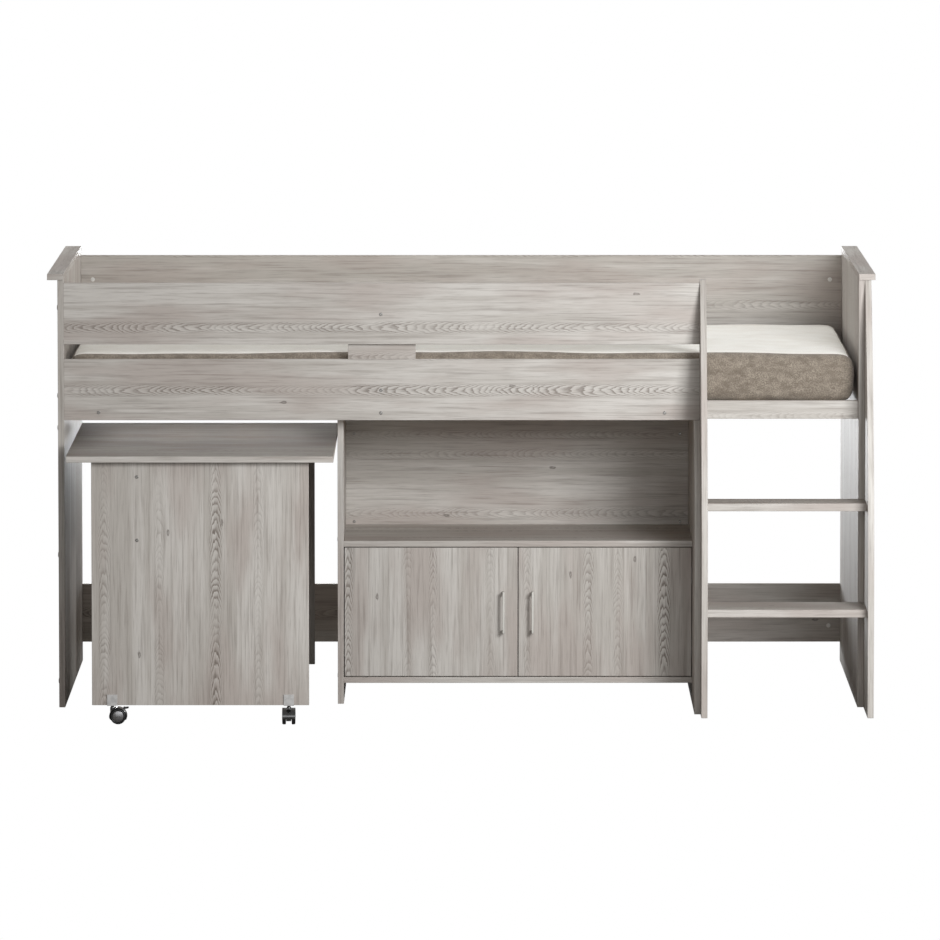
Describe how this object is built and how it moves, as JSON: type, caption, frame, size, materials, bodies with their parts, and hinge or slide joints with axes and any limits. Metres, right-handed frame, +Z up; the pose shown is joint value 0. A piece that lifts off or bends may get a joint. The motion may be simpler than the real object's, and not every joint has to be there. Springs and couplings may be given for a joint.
{
  "type": "loft bed with desk",
  "caption": "Mid-height cabin bed of greyed pine board with guard rails, a side ladder, a shelf over a hinged cupboard, and a desk on castors that rolls out from under the bed.",
  "frame": {"origin": "on the floor, under the middle of the whole object with the desk pulled out", "axes": "+X along the bed towards the ladder, +Y from the front towards the wall, +Z up"},
  "size_m": [2.03, 1.3324, 1.07],
  "materials": {
    "carcass_board": "greyed pine melamine, satin",
    "worktop": "greyed pine melamine, satin",
    "pine": "planed, unfinished",
    "mattress_cover": "knitted top with brushed border",
    "handle_metal": "satin",
    "hinge_steel": "nickel plated",
    "bracket_plastic": "matt",
    "castor_plastic": "semi-gloss black",
    "castor_wheel": "semi-gloss black"
  },
  "bodies": {
    "bed_frame": {"left_end_panel": "carcass_board", "right_end_panel": "carcass_board", "left_end_cap": "carcass_board", "right_end_cap": "carcass_board", "upper_guard_rail": "carcass_board", "lower_guard_rail": "carcass_board", "guard_rail_batten": "carcass_board", "front_support_rail": "carcass_board", "back_panel": "carcass_board", "rear_stretcher": "carcass_board", "front_slat_ledger": "pine", "rear_slat_ledger": "pine", "slat_01": "pine", "slat_02": "pine", "slat_03": "pine", "slat_04": "pine", "slat_05": "pine", "slat_06": "pine", "slat_07": "pine", "slat_08": "pine", "slat_09": "pine", "slat_10": "pine", "slat_11": "pine", "mattress": "mattress_cover", "ladder_left_upright": "carcass_board", "ladder_right_upright": "carcass_board", "lower_tread": "carcass_board", "upper_tread": "carcass_board", "cabinet_left_side": "carcass_board", "cabinet_right_side": "carcass_board", "cabinet_bottom": "carcass_board", "cabinet_shelf": "carcass_board", "cabinet_back": "carcass_board", "left_door_lower_hinge": "hinge_steel", "left_door_upper_hinge": "hinge_steel", "right_door_lower_hinge": "hinge_steel", "right_door_upper_hinge": "hinge_steel"},
    "left_door": {"left_door": "carcass_board", "left_door_handle": "handle_metal"},
    "right_door": {"right_door": "carcass_board", "right_door_handle": "handle_metal"},
    "desk": {"desk_top": "worktop", "desk_front_leg": "carcass_board", "desk_rear_leg": "carcass_board", "desk_stretcher": "carcass_board", "front_left_castor_bracket": "bracket_plastic", "front_right_castor_bracket": "bracket_plastic", "rear_left_castor_bracket": "bracket_plastic", "rear_right_castor_bracket": "bracket_plastic"},
    "front_left_castor": {"front_left_castor_housing": "castor_plastic"},
    "front_left_wheels": {"front_left_castor_wheels": "castor_wheel"},
    "front_right_castor": {"front_right_castor_housing": "castor_plastic"},
    "front_right_wheels": {"front_right_castor_wheels": "castor_wheel"},
    "rear_left_castor": {"rear_left_castor_housing": "castor_plastic"},
    "rear_left_wheels": {"rear_left_castor_wheels": "castor_wheel"},
    "rear_right_castor": {"rear_right_castor_housing": "castor_plastic"},
    "rear_right_wheels": {"rear_right_castor_wheels": "castor_wheel"},
    "front_left_lever": {"front_left_brake_lever": "castor_plastic"},
    "front_right_lever": {"front_right_brake_lever": "castor_plastic"}
  },
  "joints": [
    {"name": "desk_roll_out", "type": "slide", "parent": "bed_frame", "child": "desk", "axis": [0, -1, 0], "range_m": [-0.35, 0.6]},
    {"name": "left_door_hinge", "type": "hinge", "parent": "bed_frame", "child": "left_door", "pos_m": [-0.289, -0.23975, 0.2285], "axis": [0, 0, -1], "range_deg": [0, 95]},
    {"name": "right_door_hinge", "type": "hinge", "parent": "bed_frame", "child": "right_door", "pos_m": [0.569, -0.23975, 0.2285], "axis": [0, 0, 1], "range_deg": [0, 90]},
    {"name": "front_left_castor_swivel", "type": "hinge", "parent": "desk", "child": "front_left_castor", "pos_m": [-0.846, -0.62625, 0.045], "axis": [0, 0, 1], "continuous": true},
    {"name": "front_left_wheel_spin", "type": "hinge", "parent": "front_left_castor", "child": "front_left_wheels", "pos_m": [-0.832, -0.62625, 0.019], "axis": [0, 1, 0], "continuous": true},
    {"name": "front_left_brake", "type": "hinge", "parent": "front_left_castor", "child": "front_left_lever", "pos_m": [-0.81692, -0.62625, 0.03831], "axis": [0, 1, 0], "range_deg": [0, 18]},
    {"name": "front_right_castor_swivel", "type": "hinge", "parent": "desk", "child": "front_right_castor", "pos_m": [-0.418, -0.62625, 0.045], "axis": [0, 0, 1], "continuous": true},
    {"name": "front_right_wheel_spin", "type": "hinge", "parent": "front_right_castor", "child": "front_right_wheels", "pos_m": [-0.418, -0.64025, 0.019], "axis": [1, 0, 0], "continuous": true},
    {"name": "front_right_brake", "type": "hinge", "parent": "front_right_castor", "child": "front_right_lever", "pos_m": [-0.418, -0.65533, 0.03831], "axis": [1, 0, 0], "range_deg": [0, 18]},
    {"name": "rear_left_castor_swivel", "type": "hinge", "parent": "desk", "child": "rear_left_castor", "pos_m": [-0.846, 0.20375, 0.045], "axis": [0, 0, 1], "continuous": true},
    {"name": "rear_left_wheel_spin", "type": "hinge", "parent": "rear_left_castor", "child": "rear_left_wheels", "pos_m": [-0.846, 0.21775, 0.019], "axis": [-1, 0, 0], "continuous": true},
    {"name": "rear_right_castor_swivel", "type": "hinge", "parent": "desk", "child": "rear_right_castor", "pos_m": [-0.418, 0.20375, 0.045], "axis": [0, 0, 1], "continuous": true},
    {"name": "rear_right_wheel_spin", "type": "hinge", "parent": "rear_right_castor", "child": "rear_right_wheels", "pos_m": [-0.418, 0.21775, 0.019], "axis": [-1, 0, 0], "continuous": true}
  ]
}
